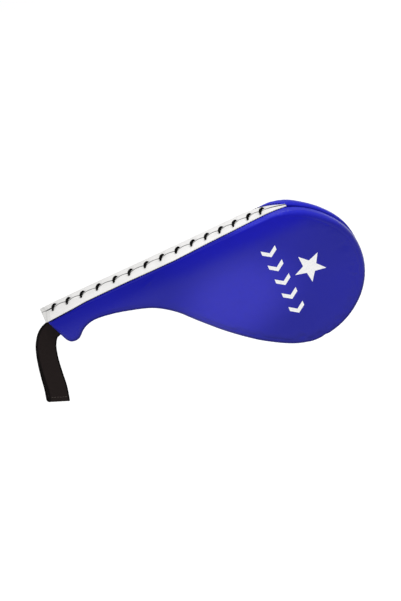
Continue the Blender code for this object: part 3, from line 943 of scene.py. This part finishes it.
def gusset_piece(name, leaf, material):
    """The gusset of one leaf, with rounded folds at the butt."""
    rings = []
    butt = SPINE_START.x
    for out, shrink in ((0.0015, 0.0030), (0.00145, 0.0016), (0.0012, 0.0007), (0.0007, 0.0002)):
        ring = gusset_section(butt, leaf, shrink)
        rings.append([point - Vector((out, 0.0, 0.0)) for point in ring])
    count = int((GUSSET_END - butt) / GUSSET_STEP)
    for k in range(count + 1):
        rings.append(gusset_section(lerp(butt, GUSSET_END, k / count), leaf, 0.0))
    bm = bmesh.new()
    add_loft(bm, rings)
    piece = make_piece(name, bm, material)
    # painted shade: the 'inside' value darkens each crease a little, and the hem, the slit's wall and the
    # underside towards near black
    walls = [0.15, 0.5, 0.9] + [1.0] * (len(rings[0]) - OVER_STEPS - 3)
    shade = []
    for ring in rings:
        dents = [gusset_dent(point.x, point.y) / FOLD_DENT for point in ring[:OVER_STEPS]]
        shade += [min(dent, 1.0) * CREASE_PAINTED_SHADE for dent in dents] + walls
    note_values(piece, "inside", shade)
    return piece


def gusset_finish():
    """White leatherette: fine grain, hair-thin creases, patchy grime, greyer towards the butt; painted shade
    on the folded butt end, in the creases and in the slit of the seam.
    """
    finish = Finish("white_leatherette", roughness=0.46, specular_ior_level=0.35)
    place = finish.place()
    x = finish.axis(place, "X")
    grime = finish.ramp(finish.noise(38.0, 5.0, 0.6), [(0.42, 0.0), (0.72, 1.0)])
    by_butt = finish.make("ShaderNodeMapRange", {}, {"Value": x, "From Min": 0.12, "From Max": -0.08})
    # patchy grime, greyer towards the butt, and painted shade on the folded end of the butt
    shade = (grime * 0.35 + by_butt * 0.50 + finish.fade(x, -0.0660, -0.0750) * 0.45).clamped()
    colour = finish.mix(shade, WHITE, (0.70, 0.695, 0.68))
    # painted shade in the creases, the hem and the slit's wall, from the 'inside' value
    finish.feed("Base Color", finish.mix(finish.attribute("inside"), colour, (0.020, 0.019, 0.024)))
    finish.feed("Roughness", 0.42 + 0.14 * grime)
    creases = finish.stretched(place, (1.6, 0.5, 0.5))
    folds = finish.noise(240.0, 4.0, 0.6, creases)
    grain = finish.bump(finish.cells(1300.0), 0.00003, 0.4)
    finish.feed("Normal", finish.bump(folds, 0.00022, 0.45, grain))
    return finish.material


white_skin = gusset_finish()
for leaf in SIDE:
    gusset = gusset_piece(leaf + "_spine_gusset", leaf, white_skin)
    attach(gusset, leaf + "_leaf")
    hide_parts(leaf + "_gusset")


# ==== Seam stitches ===================================================================================
# Nylon thread sews the gusset to the cover along the crease; each stitch lies in the blue skin just below
# the white edge. A second row holds the lining inside the turned edge of the cover.

# The stitches along the crease nearly touch and the thread is near black, so besides being thread the row is
# a painted shade line in the seam's groove.
SEAM_PITCH = 0.0031
SEAM_STITCH = 0.0029
SEAM_THREAD_R = 0.00056
SEAM_MARGIN = 0.003  # from the butt to the first stitch
SEAM_END = 0.246
LINING_PITCH = 0.0042
LINING_STITCH = 0.66  # share of the pitch that each stitch covers
LINING_ROW_IN = 0.0022
THREAD_BLUE = (0.0025, 0.0025, 0.0095)


def add_stitch(bm, start, end, lift, radius):
    """One stitch: a short thread that rises from the skin, lies on it and goes back in."""
    way = (end - start).normalized()
    side = way.cross(lift).normalized()
    rings = []
    for t, height, width in ((0.0, -0.9, 0.55), (0.12, 0.1, 0.9), (0.35, 0.5, 1.0), (0.65, 0.5, 1.0),
                             (0.88, 0.1, 0.9), (1.0, -0.9, 0.55)):
        middle = start.lerp(end, t) + lift * radius * height
        rings.append([middle + radius * width * (side * direction(60.0 * k).x + lift * direction(60.0 * k).y)
                      for k in range(6)])
    add_loft(bm, rings)


def sew_gusset(bm, pad, leaf):
    """The row in the blue skin, just below the white edge."""
    surface = surface_of(pad)
    count = int((SEAM_END - SPINE_START.x - 0.004) / SEAM_PITCH)
    for k in range(count):
        first = SPINE_START.x + SEAM_MARGIN + k * SEAM_PITCH
        ends = []
        for x in (first, first + SEAM_STITCH):
            guess = Vector((x, SIDE[leaf] * (gusset_edge(x, leaf) + 0.0008), spine_z(x) - 0.0006))
            ends.append(surface.find_nearest(guess)[:2])
        (start, normal), (end, _) = ends
        add_stitch(bm, start, end, normal, SEAM_THREAD_R)


def sew_lining(bm, side):
    """The row that runs round the lining, on the side that faces the gap."""
    run = 0.0
    last = None
    for point, way, _ in LEAF_PATH:
        spot = point + inward(way) * (LINING_INSET + LINING_ROW_IN)
        if last is not None:
            run += (spot - last).length
            if run >= LINING_PITCH:
                start = Vector((spot.x, side * LINING_FRONT, spot.y))
                end = start + Vector((way.x, 0.0, way.y)) * LINING_PITCH * LINING_STITCH
                add_stitch(bm, start, end, Vector((0.0, -side, 0.0)), SEAM_THREAD_R * 0.8)
                run -= LINING_PITCH
        last = spot


def seam_rows(name, pad, leaf, material):
    bm = bmesh.new()
    sew_gusset(bm, pad, leaf)
    sew_lining(bm, SIDE[leaf])
    return make_piece(name, bm, material)


def thread_finish():
    """Twisted nylon thread."""
    finish = Finish("blue_thread", roughness=0.55, specular_ior_level=0.08)
    finish.feed("Base Color", finish.mix(finish.noise(900.0, 2.0), THREAD_BLUE, (0.0055, 0.0055, 0.022)))
    finish.feed("Normal", finish.bump(finish.noise(2600.0, 2.0), 0.00004, 0.6))
    return finish.material


blue_thread = thread_finish()
for pad, leaf in ((front_pad, "front"), (rear_pad, "rear")):
    rows = seam_rows(leaf + "_stitches", pad, leaf, blue_thread)
    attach(rows, leaf + "_leaf")
    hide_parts(leaf + "_seam_thread")


# ==== Lace ============================================================================================
# One waxed black cord is whipped over the ridge through punched holes: fifteen slanting stitches outside,
# and the long runs between them inside the gussets. Its ends are knotted and tucked in.

LACE_R = 0.00138
LACE_LEAN = 0.0029
LACE_BOW = 0.0012
LACE_STRANDS = 3
LACE_TWIST = 0.0052  # length of one full twist
LACE_STEP = 0.0006
LACE_SIDES = 14
LACE_KNOT = 0.25  # how much the cord swells at its knots and on the ridge, and thins at its holes
LACE_CROWN = 0.30
LACE_THIN = 0.16
LACE_BLACK = (0.0018, 0.0017, 0.0018)


def lace_route():
    """Corner points of the lace: tucked end, fifteen turns over the ridge, tucked end."""
    first, last = STITCH_X[0], STITCH_X[-1]
    points = [Vector((first - 0.010, 0.0, 0.0137)), Vector((first - 0.003, 0.001, 0.0137))]
    for x in STITCH_X:
        ridge = along(x, GUSSET_RIDGE)
        foot = spine_z(x)
        edge = along(x, GUSSET_EDGE["front"])
        side_z = foot + (ridge - foot) * math.sqrt(1.0 - (STITCH_Y / edge) ** 2)
        reach_y = lerp(STITCH_Y * 1.28, STITCH_Y * 0.98, smooth((x - first) / 0.045))
        for t, lift in ((-1.04, -0.0034), (-1.00, -0.0010), (-0.80, 0.0007), (-0.40, 0.0011), (0.0, 0.0011),
                        (0.40, 0.0010), (0.80, 0.0007), (1.00, -0.0008), (1.08, -0.0034)):
            reach = min(abs(t), 1.0)
            height = lerp(ridge, side_z, (reach * reach_y / STITCH_Y) ** 2) + lift
            bow = LACE_BOW * (1.0 - reach**2)
            points.append(Vector((x - t * LACE_LEAN - bow, -t * reach_y, height)))
    points += [Vector((last - 0.001, -0.0005, 0.0160)), Vector((last + 0.001, 0.0, 0.0130)),
               Vector((last + 0.001, 0.0, 0.0010))]
    return points


def even_points(points, step):
    """Smooth curve through 3-D points, in even steps."""
    fine = []
    for i in range(len(points) - 1):
        p0 = points[max(i - 1, 0)]
        p1, p2 = points[i], points[i + 1]
        p3 = points[min(i + 2, len(points) - 1)]
        m1 = (p2 - p0) * 0.5 * min(1.0, (p2 - p1).length / max((p1 - p0).length, 1e-6))
        m2 = (p3 - p1) * 0.5 * min(1.0, (p2 - p1).length / max((p3 - p2).length, 1e-6))
        for k in range(8):
            fine.append(cubic(p1, p2, m1, m2, k / 8))
    fine.append(points[-1])
    line = [fine[0]]
    left = step
    for a, b in zip(fine, fine[1:]):
        span = (b - a).length
        done = 0.0
        while span - done >= left:
            done += left
            line.append(a.lerp(b, done / span))
            left = step
        left -= span - done
    return line


def twisted_cord(name, line, radius, material):
    """Three-strand cord along a line, swollen to a knot at both ends."""
    bm = bmesh.new()
    rings = []
    lift = Vector((0.0, 0.0, 1.0))
    for i, spot in enumerate(line):
        way = (line[min(i + 1, len(line) - 1)] - line[max(i - 1, 0)]).normalized()
        lift = (lift - way * lift.dot(way)).normalized()
        side = way.cross(lift)
        end = min(i, len(line) - 1 - i)
        knot = LACE_KNOT * bell(end - 2, 2.2)
        crown = LACE_CROWN * (1.0 - smooth(abs(spot.y) / 0.0050))
        thin = LACE_THIN * smooth((abs(spot.y) - 0.0040) / 0.0015)
        swell = 1.0 + knot + crown - thin
        ring = []
        for k in range(LACE_SIDES):
            turn = 2 * math.pi * k / LACE_SIDES
            twist = LACE_STRANDS * turn - 2 * math.pi * LACE_STRANDS * i * LACE_STEP / LACE_TWIST
            r = radius * swell * (0.93 + 0.09 * abs(math.cos(twist / 2)))
            ring.append(spot + r * (side * math.cos(turn) + lift * math.sin(turn)))
        rings.append(ring)
    add_loft(bm, rings)
    return make_piece(name, bm, material)


def lace_finish():
    """Waxed black cord: fibres along the strands and a slight shine on the crowns."""
    finish = Finish("waxed_black_cord", specular_ior_level=0.04)
    fibres = finish.noise(1900.0, 3.0)
    finish.feed("Base Color", finish.mix(fibres, LACE_BLACK, (0.0045, 0.0043, 0.0044)))
    finish.feed("Roughness", 0.58 + 0.25 * fibres)
    finish.feed("Normal", finish.bump(fibres, 0.00008, 0.6))
    return finish.material


lace = twisted_cord("whipped_lace", even_points(lace_route(), LACE_STEP), LACE_R, lace_finish())
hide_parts("spine_lace")
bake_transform(lace)


# ==== Wrist strap =====================================================================================
# A folded loop of 25 mm black webbing. Both ends are sewn between the leaves; the loop comes out of the butt,
# bends down and hangs. The weave has fine ribs along its length and a thicker woven edge on each side.

STRAP_HALF = 0.0125
LAYER_HALF = 0.00055
FLEX = Vector((-0.0691, -0.0090))
STRAP_RUN = (
    (-0.0790, -0.0135), (-0.0865, -0.0240), (-0.0915, -0.0390), (-0.0945, -0.0550), (-0.0965, -0.0700),
    (-0.0982, -0.0850), (-0.1020, -0.1035),
)
TAIL_RUN = ((-0.0250, -0.0020), (-0.0440, -0.0022), (-0.0560, -0.0052))
STRAP_SPREAD = (
    (-0.050, 0.00060), (0.000, 0.00062), (0.010, 0.0008), (0.035, 0.0030), (0.060, 0.0036), (0.085, 0.0031),
    (0.106, 0.0021),
)
STRAP_STEP = 0.0012
STITCH_ROW = 0.0033
STITCH_ROW_UP = 0.0050  # the row's height above the fold
STITCH_ROW_R = 0.00032
SPREAD_EASE = 0.004
FOLD_BIAS = -0.0027  # one edge hangs lower than the other at the fold
LAYER_SKEW = 0.0016  # how far the two layers slide apart sideways towards the fold
WEBBING = (0.0085, 0.0058, 0.0054)


def strap_line():
    """Middle line of the strap from inside the grip to the fold: (length from the butt, point, direction)."""
    end_way = (Vector(STRAP_RUN[-1]) - Vector(STRAP_RUN[-2])).normalized()
    points = TAIL_RUN + (tuple(FLEX),) + STRAP_RUN
    first_way = Vector((-1.0, 0.0))
    run = [(Vector(points[0]), first_way)] + curve_through(points, first_way, end_way, 12)
    line = []
    length = 0.0
    for k, (point, way) in enumerate(run):
        if k:
            length += (point - run[k - 1][0]).length
        line.append((length, point, way))
    nearest = min(line, key=lambda entry: (entry[1] - FLEX).length)
    return [(length - nearest[0], point, way) for length, point, way in line]


def strap_at(line, s):
    """Point and width direction at length s; past the end it goes straight on."""
    for (s0, p0, w0), (s1, p1, w1) in zip(line, line[1:]):
        if s <= s1:
            t = (s - s0) / (s1 - s0)
            return p0.lerp(p1, t), inward(w0.lerp(w1, t).normalized())
    return line[-1][1] + line[-1][2] * (s - line[-1][0]), inward(line[-1][2])


def loop_profile(line):
    """Run of the webbing's middle layer, seen edge on: down the front layer, round the fold, up the rear."""
    first, last = line[0][0], line[-1][0]
    fold = eased(last, STRAP_SPREAD, SPREAD_EASE)
    count = int((last - first) / STRAP_STEP)
    stations = [lerp(first, last, k / count) for k in range(count + 1)]
    down = [(s, -eased(s, STRAP_SPREAD, SPREAD_EASE)) for s in stations]
    turn = [(last + fold * math.cos(math.radians(a)), fold * math.sin(math.radians(a)))
            for a in range(-72, 73, 18)]
    return down + turn + [(s, -y) for s, y in reversed(down)]


def webbing_loop(name, material):
    """Sweep the webbing's section along the loop, and note each point's run along and across it."""
    line = strap_line()
    profile = loop_profile(line)
    upper = [(-1.0, 0.55), (-0.985, 0.95), (-0.94, 1.15), (-0.89, 1.0)]
    upper += [(lerp(-0.80, 0.80, k / 12), 0.88) for k in range(13)]
    upper += [(0.89, 1.0), (0.94, 1.15), (0.985, 0.95), (1.0, 0.55)]
    section = upper + [(x, -y) for x, y in reversed(upper)]
    fold = max(y for _, y in profile[len(profile) // 2:len(profile) // 2 + 5])
    bm = bmesh.new()
    run = 0.0
    runs = []
    rings = []
    for i, (s, y) in enumerate(profile):
        a, b = profile[max(i - 1, 0)], profile[min(i + 1, len(profile) - 1)]
        way = Vector((b[0] - a[0], b[1] - a[1])).normalized()
        off = Vector((-way.y, way.x))
        if i:
            run += math.hypot(s - profile[i - 1][0], y - profile[i - 1][1])
        ring = []
        drift = LAYER_SKEW * max(min(y / fold, 1.0), -1.0) * smooth((s - 0.02) / 0.08)
        for across, depth in section:
            wave = 0.00018 * noise.noise((s * 45.0, across * 1.2, 3.0 if y > 0 else 9.0))
            bias = FOLD_BIAS * (across + 0.35) * smooth((s - 0.045) / 0.055)
            flat, width_way = strap_at(line, s + bias + off.x * depth * LAYER_HALF)
            flat = flat + width_way * (across * STRAP_HALF + drift)
            depth_y = y + off.y * depth * LAYER_HALF + wave * smooth(s / 0.02)
            ring.append(Vector((flat.x, depth_y, flat.y)))
            runs.append((run, across * STRAP_HALF))
        rings.append(ring)
    add_loft(bm, rings)
    piece = make_piece(name, bm, material)
    for key, column in (("run", 0), ("across", 1)):
        note_values(piece, key, [entry[column] for entry in runs])
    return piece


def strap_stitches(name, strap):
    """A row of stitches across both layers of the strap, just above the fold."""
    surface = surface_of(strap)
    line = strap_line()
    half = STITCH_ROW * 0.36
    bm = bmesh.new()
    for side in (-1, 1):
        for k in range(-3, 4):
            ends = []
            for across in (k * STITCH_ROW - half, k * STITCH_ROW + half):
                s = line[-1][0] - STITCH_ROW_UP + FOLD_BIAS * (across / STRAP_HALF + 0.35)
                flat, width_way = strap_at(line, s)
                flat = flat + width_way * across
                outside = Vector((flat.x, side * 0.02, flat.y))
                ends.append(surface.ray_cast(outside, Vector((0.0, -side, 0.0)))[0])
            add_stitch(bm, ends[0], ends[1], Vector((0.0, side, 0.0)), STITCH_ROW_R)
    return make_piece(name, bm, brown_thread_finish())


def brown_thread_finish():
    """Brown-black nylon thread."""
    finish = Finish("brown_black_thread", roughness=0.6)
    brown = finish.mix(finish.noise(900.0, 2.0), (0.050, 0.036, 0.030), (0.095, 0.074, 0.064))
    finish.feed("Base Color", brown)
    return finish.material


def webbing_finish():
    """Woven polyester: warp ribs along the strap crossed by finer weft, a little dusty on the ribs."""
    finish = Finish("black_webbing", specular_ior_level=0.06, sheen_weight=0.02, sheen_roughness=0.4)
    run = finish.attribute("run")
    across = finish.attribute("across")
    warp = (across * (2 * math.pi / 0.00105)).sine()
    lean = run * (2 * math.pi / 0.0011) + warp * 0.9
    weft = lean.sine()
    weave = warp * 0.5 + weft * 0.35
    fluff = finish.noise(1400.0, 3.0)
    ribs = (weave * 0.5 + 0.5).clamped()
    colour = finish.mix(ribs * 0.6 + fluff * 0.4, WEBBING, (0.022, 0.0160, 0.0150))
    woven_edge = finish.fade(across * across, 0.0095**2, 0.0115**2)
    finish.feed("Base Color", finish.mix(woven_edge * 0.8, colour, (0.0012, 0.0010, 0.0010)))
    finish.feed("Roughness", 0.78 + 0.12 * fluff)
    finish.feed("Normal", finish.bump(weave + fluff * 0.4, 0.00014, 0.8))
    return finish.material


strap = webbing_loop("webbing_loop", webbing_finish())
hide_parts("wrist_strap", "strap_tail")
strap_length = 2.0 * (strap_line()[-1][0] - strap_line()[0][0])
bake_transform(strap)
fold_stitches = strap_stitches("fold_stitches", strap)
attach(fold_stitches, "wrist_strap")


# ==== Inside the leaves ===============================================================================
# Each leaf holds a soft strike foam, a hard slap board, a thin backing pad and a wooden batten in the grip.
# They stay as the frame has them, each in its own stuff.

def patterned(finish, pattern, dark, light, depth, strength):
    """One pattern that both shades a stuff and roughens it."""
    finish.feed("Base Color", finish.mix(pattern, dark, light))
    finish.feed("Normal", finish.bump(pattern, depth, strength))
    return finish.material


def foam_finish():
    """Open-cell foam."""
    finish = Finish("open_cell_foam", roughness=0.95)
    return patterned(finish, finish.cells(800.0), (0.22, 0.22, 0.215), (0.40, 0.40, 0.39), 0.0004, 0.8)


def board_finish():
    """Pressed fibre board, dark, with short fibres."""
    finish = Finish("pressed_fibre_board", roughness=0.6)
    fibres = finish.noise(500.0, 6.0, 0.7)
    return patterned(finish, fibres, (0.018, 0.018, 0.019), (0.060, 0.058, 0.055), 0.0001, 0.5)


def backing_finish():
    """Closed-cell foam sheet."""
    finish = Finish("closed_cell_foam", roughness=0.85)
    return patterned(finish, finish.cells(1600.0), (0.13, 0.13, 0.135), (0.21, 0.21, 0.215), 0.0001, 0.5)


def batten_finish():
    """Split wood with the grain along the grip."""
    finish = Finish("split_wood", roughness=0.65)
    grain = finish.noise(3.0, 6.0, 0.6, finish.stretched(finish.place(), (6.0, 90.0, 90.0)))
    return patterned(finish, grain, (0.30, 0.18, 0.085), (0.56, 0.39, 0.21), 0.0002, 0.5)


def give(node, material):
    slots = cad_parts[node].material_slots
    if slots:
        slots[0].material = material
    else:
        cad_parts[node].data.materials.append(material)


inside = {"_foam": foam_finish(), "_board": board_finish(),
          "_backing": backing_finish(), "_batten": batten_finish()}
for ending, material in inside.items():
    for leaf in ("front", "rear"):
        give(leaf + ending, material)
give("strap_bartack", blue_thread)
